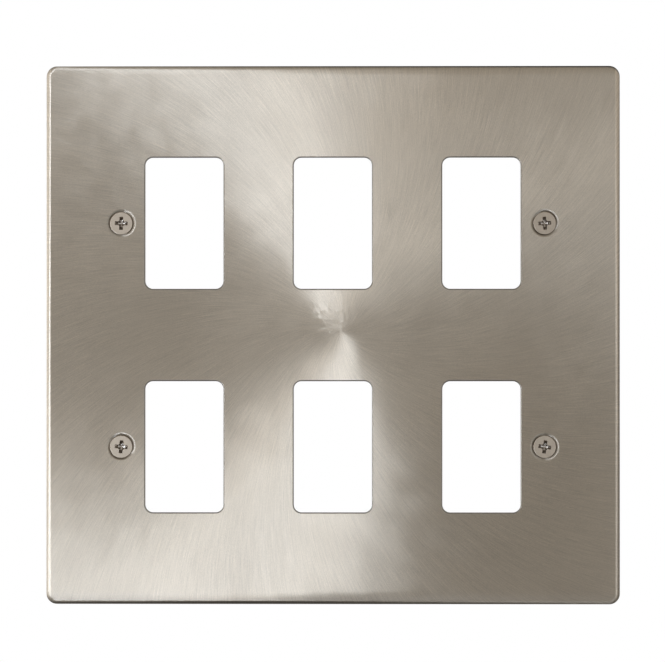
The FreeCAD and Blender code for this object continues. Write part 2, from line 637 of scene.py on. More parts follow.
    def recess(self, work: MetalPiece) -> None:
        """Adds the driver recess: a broken rim, tapered wings and a point.

        Args:
            work: The piece under construction.
        """
        outline = self.cross(work)
        bmesh.ops.inset_region(
            work.mesh, faces=[outline], thickness=self.recess_rim, use_even_offset=True, use_boundary=True
        )
        bmesh.ops.translate(work.mesh, vec=(0, self.recess_rim, 0), verts=outline.verts)
        floor = outline
        steps = (
            (self.recess_depth - self.recess_rim, self.recess_floor_scale),
            (self.recess_point, self.recess_point_scale),
        )
        for deeper, share in steps:
            made = bmesh.ops.extrude_face_region(work.mesh, geom=[floor])["geom"]
            bmesh.ops.delete(work.mesh, geom=[floor], context="FACES_ONLY")
            floor = next(item for item in made if isinstance(item, BMFace))
            bmesh.ops.translate(work.mesh, vec=(0, deeper, 0), verts=floor.verts)
            bmesh.ops.scale(work.mesh, vec=(share, 1, share), verts=floor.verts)

    def thread(self, work: MetalPiece) -> None:
        """Adds the rolled thread to an empty piece, fading in from the neck and out at the tip.

        Args:
            work: The piece under construction.
        """
        mesh = work.mesh
        flank = (self.thread_radius - self.thread_root) * math.tan(math.radians(self.flank_angle))
        crest = self.thread_pitch / 8
        root = self.thread_pitch - crest - 2 * flank
        fade_in = self.fade_turns * self.thread_pitch
        profile = [(self.thread_root, self.thread_y - fade_in)]
        for run, radius in (
            (root, self.thread_root),
            (flank, self.thread_radius),
            (crest, self.thread_radius),
            (flank, self.thread_root),
        ):
            profile.append((radius, profile[-1][1] + run))
        points = [mesh.verts.new((radius, y, 0)) for radius, y in profile]
        chain = [mesh.edges.new(pair) for pair in zip(points, points[1:])]
        rise = (0, self.thread_pitch / self.thread_steps, 0)
        bmesh.ops.spin(
            mesh, geom=points + chain, axis=(0, 1, 0), dvec=rise, angle=2 * math.pi, steps=self.thread_steps
        )
        first_turn = [*mesh.verts, *mesh.edges, *mesh.faces]
        for turn in range(1, math.ceil((self.tip_y - self.thread_y) / self.thread_pitch) + 3):
            copied = bmesh.ops.duplicate(mesh, geom=first_turn)["geom"]
            corners = [item for item in copied if isinstance(item, BMVert)]
            bmesh.ops.translate(mesh, vec=(0, turn * self.thread_pitch, 0), verts=corners)
        bmesh.ops.remove_doubles(mesh, verts=mesh.verts, dist=SAME_CORNER)
        for y, outwards in ((self.thread_y, -1), (self.tip_y, 1)):
            helix = [*mesh.verts, *mesh.edges, *mesh.faces]
            bmesh.ops.bisect_plane(
                mesh, geom=helix, plane_co=(0, y, 0), plane_no=(0, outwards, 0), clear_outer=True
            )
        for corner in mesh.verts:
            radius = math.hypot(corner.co.x, corner.co.z)
            fade = min(1.0, (corner.co.y - self.thread_y) / fade_in)
            wanted = self.neck_radius + (radius - self.neck_radius) * fade
            wanted = min(wanted, self.thread_radius - self.tip_chamfer + self.tip_y - corner.co.y)
            corner.co.x *= wanted / radius
            corner.co.z *= wanted / radius
        bmesh.ops.holes_fill(mesh, edges=work.open_edges(self.tip_y), sides=0)

    def build(
        self, spot: ScrewSpot, axis: tuple[float, float], materials: list[bpy.types.Material]
    ) -> bpy.types.Object:
        """Builds one screw and drives it home.

        Args:
            spot: Where it sits and how far it is turned.
            axis: X and Z of its axis.
            materials: The finish of the turned faces and of the recess.

        Returns:
            The screw as one closed mesh.
        """
        work = MetalPiece()
        self.thread(work)
        thread_start = work.open_edges(self.thread_y)
        self.head(work)
        bmesh.ops.bridge_loops(work.mesh, edges=thread_start + work.open_edges(self.thread_y - SUPPORT))
        with work.dressed(ScrewFinish.RECESS):
            self.recess(work)
        work.fill_flat(self.head_top_y)
        bmesh.ops.rotate(
            work.mesh, matrix=Matrix.Rotation(math.radians(spot.turn), 3, "Y"), verts=work.mesh.verts
        )
        bmesh.ops.translate(work.mesh, vec=(axis[0], 0, axis[1]), verts=work.mesh.verts)
        return work.finished(f"driven_{spot.name}", spot.name, materials)


class Wiring:
    """Short calls that add nodes to one node tree."""

    def __init__(self, tree: bpy.types.NodeTree) -> None:
        """Starts with the tree that the nodes go into."""
        self.tree = tree

    def node(self, kind: str, **inputs: object) -> bpy.types.Node:
        """Adds a node and sets or links its inputs, named with underscores for spaces.

        Args:
            kind: Blender's node type.
            inputs: A value, or an output socket, for each input.

        Returns:
            The node.
        """
        node = self.tree.nodes.new(kind)
        for name, value in inputs.items():
            self.feed(node.inputs[name.replace("_", " ")], value)
        return node

    def feed(self, socket: bpy.types.NodeSocket, value: object) -> None:
        """Links an output to a socket, or sets its value.

        Args:
            socket: The socket.
            value: The output or the value.
        """
        if isinstance(value, bpy.types.NodeSocket):
            self.tree.links.new(value, socket)
        else:
            socket.default_value = value

    def math(self, operation: str, *terms: object) -> bpy.types.NodeSocket:
        """Adds a Math node.

        Args:
            operation: Blender's name of the operation.
            terms: A value, or an output socket, for each input.

        Returns:
            Its output.
        """
        node = self.tree.nodes.new("ShaderNodeMath")
        node.operation = operation
        for socket, term in zip(node.inputs, terms):
            self.feed(socket, term)
        return node.outputs[0]

    def length(self, x: bpy.types.NodeSocket, z: bpy.types.NodeSocket) -> bpy.types.NodeSocket:
        """Adds nodes for the length of a vector with two parts."""
        return self.math("SQRT", self.math("MULTIPLY_ADD", x, x, self.math("MULTIPLY", z, z)))

    def ramp(
        self, value: bpy.types.NodeSocket, low: float, high: float, out_low: float, out_high: float
    ) -> bpy.types.NodeSocket:
        """Maps a range of values onto another range, clamped, and returns the output."""
        node = self.node(
            "ShaderNodeMapRange", Value=value, From_Min=low, From_Max=high, To_Min=out_low, To_Max=out_high
        )
        return node.outputs["Result"]

    def noise(self, vector: object, scale: float, detail: float) -> bpy.types.NodeSocket:
        """Adds three dimensional noise and returns its value, from 0 to 1 about 0.5."""
        node = self.node("ShaderNodeTexNoise", Vector=vector, Scale=scale, Detail=detail, Roughness=0.5)
        return node.outputs["Fac"]


@dataclass(frozen=True)
class SwirlLay:
    """The lines that a swirling brush leaves: arcs that run out from a core.

    Args:
        middle: X and Z that the arcs run out from.
        arc_radius: Radius of the arcs.
        lead: Degrees by which every line leans ahead of an arc.
        core: X and Z that the lines near the core run out from.
        core_reach: Distance within which they do.
        core_lead: Degrees by which they lean.
        crossed: X and Z of the spot beside the core where the lines of many strokes cross.
        crossed_reach: Distance within which they do.
        crossing: Degrees over which their directions spread.
        strands: How many strands of them fill one radian.
        strand_length: Length of a strand.
        nearest: Distance from the middle within which nothing turns any faster.
        layer_gap: How far apart in the noise the layers of lines lie, which double in width outwards.
    """

    middle: tuple[float, float] = (0.4934, 1.435)
    arc_radius: float = 139.4
    lead: float = 7.898
    core: tuple[float, float] = (2.1, 1.05)
    core_reach: float = 6.403
    core_lead: float = -11
    crossed: tuple[float, float] = (-0.15, 2.65)
    crossed_reach: float = 4.3
    crossing: float = 600.0
    strands: float = 38.0
    strand_length: float = 1.2
    nearest: float = 0.05
    layer_gap: float = 17.3

    def on_face(self, wiring: Wiring, position: bpy.types.NodeSocket) -> list[bpy.types.NodeSocket]:
        """Adds nodes for X and Z in millimetres."""
        parts = wiring.node("ShaderNodeSeparateXYZ", Vector=position)
        return [wiring.math("DIVIDE", parts.outputs[name], MM) for name in "XZ"]

    def near(
        self, wiring: Wiring, position: bpy.types.NodeSocket, spot: tuple[float, float], reach: float
    ) -> bpy.types.NodeSocket:
        """Adds nodes for a share that is 1 at a spot and fades with distance.

        Args:
            wiring: The tree that they go into.
            position: Object coordinates, in metres.
            spot: X and Z of the spot.
            reach: Distance at which the share has fallen to about a third.

        Returns:
            The share.
        """
        across = self.on_face(wiring, position)
        offset = [wiring.math("SUBTRACT", part, middle) for part, middle in zip(across, spot)]
        ratio = wiring.math("DIVIDE", wiring.length(*offset), reach)
        squared = wiring.math("MULTIPLY", ratio, ratio)
        return wiring.math("POWER", math.e, wiring.math("MULTIPLY", squared, -1.0))

    def polar(
        self, wiring: Wiring, position: bpy.types.NodeSocket
    ) -> tuple[bpy.types.NodeSocket, bpy.types.NodeSocket, bpy.types.NodeSocket, bpy.types.NodeSocket]:
        """Adds nodes for a position about the middle, which drifts to the core near it.

        Args:
            wiring: The tree that they go into.
            position: Object coordinates, in metres.

        Returns:
            Distance in millimetres, angle, how far an arc has bent there, and the share of the core.
        """
        across = self.on_face(wiring, position)
        share = self.near(wiring, position, self.core, self.core_reach)
        x, z = (
            wiring.math("SUBTRACT", part, wiring.math("MULTIPLY_ADD", share, core - middle, middle))
            for part, core, middle in zip(across, self.core, self.middle)
        )
        distance = wiring.math("MAXIMUM", wiring.length(x, z), self.nearest)
        angle = wiring.math("ARCTAN2", z, x)
        bend = wiring.math("ARCSINE", wiring.math("DIVIDE", distance, 2 * self.arc_radius))
        return distance, angle, bend, share

    def across(
        self, wiring: Wiring, position: bpy.types.NodeSocket, sway: bpy.types.NodeSocket
    ) -> bpy.types.NodeSocket:
        """Adds nodes for the direction square to the brush lines.

        Args:
            wiring: The material's own tree.
            position: Object coordinates, in metres.
            sway: Radians by which a line strays here.

        Returns:
            The direction, for a shader's Tangent.
        """
        distance, angle, bend, share = self.polar(wiring, position)
        lead, core_lead = math.radians(self.lead), math.radians(self.core_lead)
        leaning = wiring.math("MULTIPLY_ADD", share, core_lead - lead, lead)
        strand = wiring.node(
            "ShaderNodeCombineXYZ",
            X=wiring.math("MULTIPLY", wiring.math("COSINE", angle), self.strands),
            Y=wiring.math("MULTIPLY", wiring.math("SINE", angle), self.strands),
            Z=wiring.math("DIVIDE", distance, self.strand_length),
        )
        spread = wiring.math("SUBTRACT", wiring.noise(strand.outputs["Vector"], 1.0, 2.0), 0.5)
        other_way = wiring.math("MULTIPLY", spread, math.radians(self.crossing))
        crossed = self.near(wiring, position, self.crossed, self.crossed_reach)
        leaning = wiring.math("MULTIPLY_ADD", crossed, other_way, leaning)
        along = wiring.math("ADD", wiring.math("ADD", angle, bend), wiring.math("ADD", leaning, sway))
        x = wiring.math("MULTIPLY", wiring.math("SINE", along), -1.0)
        return wiring.node("ShaderNodeCombineXYZ", X=x, Z=wiring.math("COSINE", along)).outputs["Vector"]

    def strokes_group(self) -> bpy.types.NodeTree:
        """Builds the node group that draws the brush lines at one width all over the plate.

        Returns:
            A group that takes Position, Line Width, Line Length and Seed, and gives Strokes.
        """
        group = bpy.data.node_groups.new("swirl strokes", "ShaderNodeTree")
        group.interface.new_socket("Position", in_out="INPUT", socket_type="NodeSocketVector")
        for name in ("Line Width", "Line Length", "Seed"):
            group.interface.new_socket(name, in_out="INPUT", socket_type="NodeSocketFloat")
        group.interface.new_socket("Strokes", in_out="OUTPUT", socket_type="NodeSocketFloat")
        wiring = Wiring(group)
        given = group.nodes.new("NodeGroupInput").outputs
        distance, angle, bend, _share = self.polar(wiring, given["Position"])
        slant = math.tan(math.radians(self.lead))
        drift = wiring.math("MULTIPLY", wiring.math("LOGARITHM", distance, math.e), slant)
        line = wiring.math("SUBTRACT", wiring.math("SUBTRACT", angle, bend), drift)
        octave = wiring.math("LOGARITHM", distance, 2.0)
        ring = wiring.math("FLOOR", octave)
        share = wiring.math("SUBTRACT", octave, ring)
        layers = []
        for step in (0.0, 1.0):
            level = wiring.math("ADD", ring, step)
            reach = wiring.math("DIVIDE", wiring.math("POWER", 2.0, level), given["Line Width"])
            runs = wiring.math("DIVIDE", distance, given["Line Length"])
            layer = wiring.math("MULTIPLY_ADD", level, self.layer_gap, runs)
            depth = wiring.math("ADD", layer, given["Seed"])
            place = wiring.node(
                "ShaderNodeCombineXYZ",
                X=wiring.math("MULTIPLY", wiring.math("COSINE", line), reach),
                Y=wiring.math("MULTIPLY", wiring.math("SINE", line), reach),
                Z=depth,
            )
            layers.append(wiring.noise(place.outputs["Vector"], 1.0, 2.0))
        mixed = wiring.node("ShaderNodeMix", Factor=share, A=layers[0], B=layers[1])
        result = group.nodes.new("NodeGroupOutput")
        wiring.feed(result.inputs["Strokes"], mixed.outputs[0])
        return group


def mottle_group() -> bpy.types.NodeTree:
    """Builds the node group for the faint clouds of plated metal.

    Returns:
        A group that takes Position and Size in millimetres, and gives Clouds.
    """
    group = bpy.data.node_groups.new("plating clouds", "ShaderNodeTree")
    group.interface.new_socket("Position", in_out="INPUT", socket_type="NodeSocketVector")
    group.interface.new_socket("Size", in_out="INPUT", socket_type="NodeSocketFloat")
    group.interface.new_socket("Clouds", in_out="OUTPUT", socket_type="NodeSocketFloat")
    wiring = Wiring(group)
    given = group.nodes.new("NodeGroupInput").outputs
    scale = wiring.math("DIVIDE", 1 / MM, given["Size"])
    scaled = wiring.node("ShaderNodeVectorMath")
    scaled.operation = "SCALE"
    wiring.feed(scaled.inputs["Vector"], given["Position"])
    wiring.feed(scaled.inputs["Scale"], scale)
    result = group.nodes.new("NodeGroupOutput")
    wiring.feed(result.inputs["Clouds"], wiring.noise(scaled.outputs["Vector"], 1.0, 3.0))
    return group


@dataclass(frozen=True)
class BrushLines:
    """One kind of brush line.

    Args:
        width: Its width.
        length: Its length.
        seed: Where in the noise it starts.
    """

    width: float
    length: float
    seed: float


@dataclass(frozen=True)
class Effects:
    """The shader node groups that the finishes share.

    Args:
        strokes: The group for brush lines.
        clouds: The group for plating clouds.
    """

    strokes: bpy.types.NodeTree
    clouds: bpy.types.NodeTree

    def place(self, wiring: Wiring, group: bpy.types.NodeTree, **inputs: object) -> bpy.types.NodeSocket:
        """Places a group in a material.

        Args:
            wiring: The material's tree.
            group: The group.
            inputs: Its inputs, named with underscores for spaces.

        Returns:
            The group's first output.
        """
        node = wiring.tree.nodes.new("ShaderNodeGroup")
        node.node_tree = group
        for name, value in inputs.items():
            wiring.feed(node.inputs[name.replace("_", " ")], value)
        return node.outputs[0]

    def brushed(
        self, wiring: Wiring, position: bpy.types.NodeSocket, lines: BrushLines
    ) -> bpy.types.NodeSocket:
        """Places one kind of brush line in a material, and returns how high it stands."""
        return self.place(
            wiring,
            self.strokes,
            Position=position,
            Line_Width=lines.width,
            Line_Length=lines.length,
            Seed=lines.seed,
        )

    def clouded(
        self, wiring: Wiring, position: bpy.types.NodeSocket, size: float
    ) -> bpy.types.NodeSocket:
        """Places plating clouds of one size in a material, and returns them."""
        return self.place(wiring, self.clouds, Position=position, Size=size)


def from_screw(
    wiring: Wiring, position: bpy.types.NodeSocket, axis: tuple[float, float]
) -> bpy.types.NodeSocket:
    """Adds nodes for the distance in millimetres to the nearest screw's axis.

    Args:
        wiring: The material's tree.
        position: Object coordinates, in metres.
        axis: X and Z of the axis of the upper right screw, which the others mirror.

    Returns:
        The distance.
    """
    parts = wiring.node("ShaderNodeSeparateXYZ", Vector=position)
    offset = [
        wiring.math("SUBTRACT", wiring.math("ABSOLUTE", parts.outputs[name]), middle * MM)
        for name, middle in zip("XZ", axis)
    ]
    return wiring.math("DIVIDE", wiring.length(*offset), MM)


def metal(name: str) -> tuple[bpy.types.Material, Wiring, bpy.types.Node, bpy.types.NodeSocket]:
    """Starts a metal material.

    Args:
        name: Its name.

    Returns:
        The material, the wiring of its tree, its shader node and Object coordinates.
    """
    material = bpy.data.materials.new(name)
    material.use_nodes = True
    wiring = Wiring(material.node_tree)
    shader = material.node_tree.nodes["Principled BSDF"]
    shader.inputs["Metallic"].default_value = 1.0
    position = wiring.node("ShaderNodeTexCoord").outputs["Object"]
    return material, wiring, shader, position


def shaded(
    wiring: Wiring, colour: tuple[float, float, float], lightness: bpy.types.NodeSocket
) -> bpy.types.NodeSocket:
    """Adds nodes that lighten or darken a colour.

    Args:
        wiring: The material's tree.
        colour: The colour.
        lightness: What it is multiplied by.

    Returns:
        The new colour.
    """
    scaled = wiring.node("ShaderNodeVectorMath")
    scaled.operation = "SCALE"
    scaled.inputs[0].default_value = colour
    wiring.feed(scaled.inputs["Scale"], lightness)
    return scaled.outputs["Vector"]


def about_one(wiring: Wiring, lines: bpy.types.NodeSocket, swing: float) -> bpy.types.NodeSocket:
    """Adds nodes that turn brush lines into a factor that swings about 1, and returns it."""
    return wiring.ramp(lines, *LINE_SPAN, 1 - swing / 2, 1 + swing / 2)


def bumped(
    wiring: Wiring,
    height: bpy.types.NodeSocket,
    depth: float,
    strength: float = 0.5,
    under: bpy.types.NodeSocket | None = None,
) -> bpy.types.NodeSocket:
    """Adds a Bump node.

    Args:
        wiring: The material's tree.
        height: Height, as a share of the depth.
        depth: Depth that a height of 1 stands for, in millimetres.
        strength: How much of it shows.
        under: Normal that it goes on top of, if the surface's own isn't meant.

    Returns:
        The normal.
    """
    node = wiring.node("ShaderNodeBump", Height=height, Strength=strength, Distance=depth * MM)
    if under is not None:
        wiring.feed(node.inputs["Normal"], under)
    return node.outputs["Normal"]


@dataclass(frozen=True)
class BrushedNickel:
    """Satin nickel on the finished face, brushed in swirls from the middle.

    Args:
        lay: The brush lines' directions.
        rim: Half the width and half the height within which the face is flat.
        seat_axis: X and Z of the upper right screw seat.
        seat_radius: Radius of a seat.
        colour: Its colour.
        roughness: Its roughness, where the sweeps and the clouds are even.
        roughness_swing: How far they move it in all.
        mixed_span: The range of sweeps and clouds together over which they do.
        grain: The fine lines.
        sweep: The broad lines.
        marks: The short nicks along the lines.
        grain_swing: How far the fine lines move the lightness in all.
        mark_swing: The same for the nicks.
        cloud_size: Size of the plating clouds.
        sway: Degrees by which a line strays to either side.
        sway_scale: How quickly it does, for each metre.
        rim_blend: Half the width over which the painted rim light comes in.
        side_rim_highlight: Lightness of the rim at the sides, a painted highlight.
        end_rim_shade: The same at the top and the bottom, a painted shade.
        seat_blend: Where the painted shade in a seat ends, inside and outside its radius.
        seat_shade_tone: Lightness of the seats, a painted shade.
        grain_depth: Depth of the fine lines.
        top_crown: Width and degrees of the fall along the top edge.
        bottom_crown: The same along the bottom edge.
    """

    lay: SwirlLay
    rim: tuple[float, float]
    seat_axis: tuple[float, float]
    seat_radius: float
    colour: tuple[float, float, float] = (0.590, 0.520, 0.425)
    roughness: float = 0.4803
    roughness_swing: float = 0.07
    mixed_span: tuple[float, float] = (0.3, 0.7)
    grain: BrushLines = BrushLines(width=0.09, length=5.5, seed=0.0)
    sweep: BrushLines = BrushLines(width=1.3, length=30.0, seed=5.0)
    marks: BrushLines = BrushLines(width=0.12, length=0.35, seed=9.0)
    grain_swing: float = 0.44
    mark_swing: float = 0.3
    cloud_size: float = 16.0
    sway: float = 7.0
    sway_scale: float = 160.0
    rim_blend: float = 0.15
    side_rim_highlight: float = 1.4
    end_rim_shade: float = 0.95
    seat_blend: tuple[float, float] = (-0.2, 0.3)
    seat_shade_tone: float = 0.7
    grain_depth: float = 0.04
    top_crown: tuple[float, float] = (1.3, 4.5)
    bottom_crown: tuple[float, float] = (2.3, 8.0)

    def painted_rim_light(self, wiring: Wiring, position: bpy.types.NodeSocket) -> bpy.types.NodeSocket:
        """Adds nodes for the rolled rim's painted highlight at the sides and painted shade at the ends.

        Args:
            wiring: The material's tree.
            position: Object coordinates, in metres.

        Returns:
            What the lightness is multiplied by.
        """
        blend = self.rim_blend
        side, end = (
            wiring.ramp(wiring.math("ABSOLUTE", part), flat - blend, flat + blend, 0.0, 1.0)
            for part, flat in zip(self.lay.on_face(wiring, position), self.rim)
        )
        # Painted highlight lightens the side rims; painted shade darkens the top and bottom rims.
        side_highlight = wiring.ramp(side, 0.0, 1.0, 1.0, self.side_rim_highlight)
        return wiring.math("MULTIPLY", side_highlight, wiring.ramp(end, 0.0, 1.0, 1.0, self.end_rim_shade))

    def painted_seat_shade(self, wiring: Wiring, position: bpy.types.NodeSocket) -> bpy.types.NodeSocket:
        """Adds nodes for painted shade that darkens the screw seats.

        Args:
            wiring: The material's tree.
            position: Object coordinates, in metres.

        Returns:
            What the lightness is multiplied by.
        """
        from_axis = from_screw(wiring, position, self.seat_axis)
        inside, outside = (self.seat_radius + blend for blend in self.seat_blend)
        # Painted shade: darker inside each seat, fading out just past its radius.
        return wiring.ramp(from_axis, inside, outside, self.seat_shade_tone, 1.0)

    def crown(self, wiring: Wiring, position: bpy.types.NodeSocket) -> bpy.types.NodeSocket:
        """Adds nodes for the slight fall that pressing leaves along both ends.

        Args:
            wiring: The material's tree.
            position: Object coordinates, in metres.

        Returns:
            The normal.
        """
        flat = self.rim[1]
        _x, z = self.lay.on_face(wiring, position)
        height = 0.0
        for end, (reach, tilt) in ((1, self.top_crown), (-1, self.bottom_crown)):
            into = wiring.ramp(wiring.math("MULTIPLY", z, end), flat - reach, flat, 0.0, reach)
            fall = -math.tan(math.radians(tilt)) / (2 * reach)
            height = wiring.math("MULTIPLY_ADD", wiring.math("MULTIPLY", into, into), fall, height)
        return bumped(wiring, height, depth=1.0, strength=1.0)

    def material(self, effects: Effects) -> bpy.types.Material:
        """Builds the material.

        Args:
            effects: The shader node groups.

        Returns:
            The material.
        """
        material, wiring, shader, position = metal("brushed nickel")
        grain = effects.brushed(wiring, position, self.grain)
        sweep = effects.brushed(wiring, position, self.sweep)
        marks = effects.brushed(wiring, position, self.marks)
        clouds = effects.clouded(wiring, position, self.cloud_size)
        lightness = about_one(wiring, grain, self.grain_swing)
        # The rim's painted highlight and shade, and the seats' painted shade, go into the base colour.
        for factor in (
            self.painted_rim_light(wiring, position),
            self.painted_seat_shade(wiring, position),
            about_one(wiring, marks, self.mark_swing),
        ):
            lightness = wiring.math("MULTIPLY", lightness, factor)
        wiring.feed(shader.inputs["Base Color"], shaded(wiring, self.colour, lightness))
        mixed = wiring.math("MULTIPLY_ADD", clouds, 0.5, wiring.math("MULTIPLY", sweep, 0.5))
        low, high = self.roughness - self.roughness_swing / 2, self.roughness + self.roughness_swing / 2
        wiring.feed(shader.inputs["Roughness"], wiring.ramp(mixed, *self.mixed_span, low, high))
        stray = wiring.noise(position, self.sway_scale, 2.0)
        sway = wiring.ramp(stray, 0.0, 1.0, -math.radians(self.sway), math.radians(self.sway))
        shader.inputs["Anisotropic"].default_value = 1.0
        wiring.feed(shader.inputs["Tangent"], self.lay.across(wiring, position, sway))
        lines = bumped(wiring, grain, self.grain_depth, under=self.crown(wiring, position))
        wiring.feed(shader.inputs["Normal"], lines)
        return material


@dataclass(frozen=True)
class PlainNickel:
    """Nickel plate that the brush doesn't reach.

    Args:
        name: Name of the material.
        colour: Its colour.
        roughness: Its roughness.
        cloud_size: Size of the plating clouds.
        cloud_tone: Lightness at their ends.
        cloud_roughness: What they add to the roughness at their ends.
        pit_size: Size of the fine pits.
        pit_depth: Their depth.
    """

    name: str
    colour: tuple[float, float, float]
    roughness: float
    cloud_size: float = 9.0
    cloud_tone: tuple[float, float] = (0.92, 1.06)
    cloud_roughness: tuple[float, float] = (-0.05, 0.06)
    pit_size: float = 0.5
    pit_depth: float = 0.01

    def material(self, effects: Effects) -> bpy.types.Material:
        """Builds the material.

        Args:
            effects: The shader node groups.

        Returns:
            The material.
        """
        material, wiring, shader, position = metal(self.name)
        clouds = effects.clouded(wiring, position, self.cloud_size)
        pits = effects.clouded(wiring, position, self.pit_size)
        lightness = wiring.ramp(clouds, *CLOUD_SPAN, *self.cloud_tone)
        low, high = (self.roughness + part for part in self.cloud_roughness)
        wiring.feed(shader.inputs["Base Color"], shaded(wiring, self.colour, lightness))
        wiring.feed(shader.inputs["Roughness"], wiring.ramp(clouds, *CLOUD_SPAN, low, high))
        wiring.feed(shader.inputs["Normal"], bumped(wiring, pits, self.pit_depth))
        return material


@dataclass(frozen=True)
class ScrewNickel:
    """Nickel plate on the turned and rolled screws.

    Args:
        axis: X and Z of the axis of the upper right screw.
        colour: Its colour.
        roughness: Its roughness.
        cloud_size: Size of the plating clouds.
        cloud_tone: Lightness at their ends.
        cloud_roughness: What they add to the roughness at their ends.
        ring_scale: How quickly the turning rings follow each other, for each millimetre.
        ring_depth: Their depth.
    """

    axis: tuple[float, float]
    colour: tuple[float, float, float] = (0.354, 0.299, 0.235)
    roughness: float = 0.46
    cloud_size: float = 1.2
    cloud_tone: tuple[float, float] = (0.94, 1.05)
    cloud_roughness: tuple[float, float] = (-0.04, 0.06)
    ring_scale: float = 9.0
    ring_depth: float = 0.008

    def material(self, effects: Effects) -> bpy.types.Material:
        """Builds the material.

        Args:
            effects: The shader node groups.

        Returns:
            The material.
        """
        material, wiring, shader, position = metal("screw nickel")
        radius = from_screw(wiring, position, self.axis)
        along = wiring.node("ShaderNodeCombineXYZ", X=radius).outputs["Vector"]
        rings = wiring.noise(along, self.ring_scale, 2.0)
        clouds = effects.clouded(wiring, position, self.cloud_size)
        lightness = wiring.ramp(clouds, *CLOUD_SPAN, *self.cloud_tone)
        low, high = (self.roughness + part for part in self.cloud_roughness)
        wiring.feed(shader.inputs["Base Color"], shaded(wiring, self.colour, lightness))
        wiring.feed(shader.inputs["Roughness"], wiring.ramp(clouds, *CLOUD_SPAN, low, high))
        wiring.feed(shader.inputs["Normal"], bumped(wiring, rings, self.ring_depth))
        return material


@dataclass(frozen=True)
class Softbox:
    """A rectangular studio lamp that faces the middle of the plate.

    Args:
        name: Its name.
        place: Its middle, in metres.
        width: Its level side, in metres.
        height: Its other side, in metres.
        radiance: Light that its surface gives off.
        tint: Colour of the light.
    """

    name: str
    place: tuple[float, float, float]
    width: float
    height: float
    radiance: float
    tint: tuple[float, float, float]

    def build(self) -> bpy.types.Object:
        """Adds the lamp.

        Returns:
            The lamp.
        """
        data = bpy.data.lights.new(self.name, "AREA")
        data.shape = "RECTANGLE"
        data.size = self.width
        data.size_y = self.height
        data.energy = self.radiance * self.width * self.height * math.pi
        data.color = self.tint
        lamp = bpy.data.objects.new(self.name, data)
        bpy.context.collection.objects.link(lamp)
        lamp.location = self.place
        lamp.rotation_euler = (-Vector(self.place)).to_track_quat("-Z", "Y").to_euler()
        lamp.visible_camera = False
        return lamp


def flat_card(name: str, lay: Matrix, material: bpy.types.Material) -> bpy.types.Object:
    """Makes a flat card and links it to the scene.

    Args:
        name: Its name.
        lay: Matrix that sizes and lays a square of one metre.
        material: Its material.

    Returns:
        The card.
    """
    work = bmesh.new()
    bmesh.ops.create_grid(work, x_segments=1, y_segments=1, size=0.5, matrix=lay)
    data = bpy.data.meshes.new(name)
    work.to_mesh(data)
    work.free()
    data.materials.append(material)
    card = bpy.data.objects.new(name, data)
    bpy.context.collection.objects.link(card)
    return card


@dataclass(frozen=True)
class Flag:
    """A dark card out of the picture, which only mirrored rays meet, as a photographer sets for metal.

    Args:
        name: Its name.
        place: Its middle, in metres.
        facing: Direction that it faces.
        width: Its side along X, or along Y for a card that faces along X, in metres.
        length: Its other side, in metres.
        grey: Light that its surface gives back.
    """

    name: str
    place: tuple[float, float, float]
    facing: tuple[float, float, float]
    width: float
    length: float
    grey: float

    def build(self) -> bpy.types.Object:
        """Adds the card.

        Returns:
            The card.
        """
        material = bpy.data.materials.new(self.name)
        material.use_nodes = True
        shader = material.node_tree.nodes["Principled BSDF"]
        shader.inputs["Base Color"].default_value = (0, 0, 0, 1)
        shader.inputs["Specular IOR Level"].default_value = 0.0
        shader.inputs["Emission Color"].default_value = (1, 1, 1, 1)
        shader.inputs["Emission Strength"].default_value = self.grey
        turn = Vector(self.facing).to_track_quat("Z", "Y").to_matrix().to_4x4()
        lay = Matrix.Translation(self.place) @ turn @ Matrix.Diagonal((self.width, self.length, 1, 1))
        card = flat_card(self.name, lay, material)
        card.visible_camera = False
        card.visible_diffuse = False
        card.visible_transmission = False
        card.visible_shadow = False
        return card


def seen_from_plate(right: float, up: float, distance: float) -> tuple[float, float, float]:
    """Place of a lamp whose mirror image shows at one slope of the plate's face.

    Args:
        right: Slope to the right of the face's normal, half way to the lamp.
        up: The same upwards.
        distance: Distance from the middle of the plate, in metres.

    Returns:
        X, Y and Z in metres.
    """
    half = Vector((right, -1.0, up)).normalized()
    lamp = 2 * -half.y * half - Vector((0, -1, 0))
    return tuple(lamp * distance)


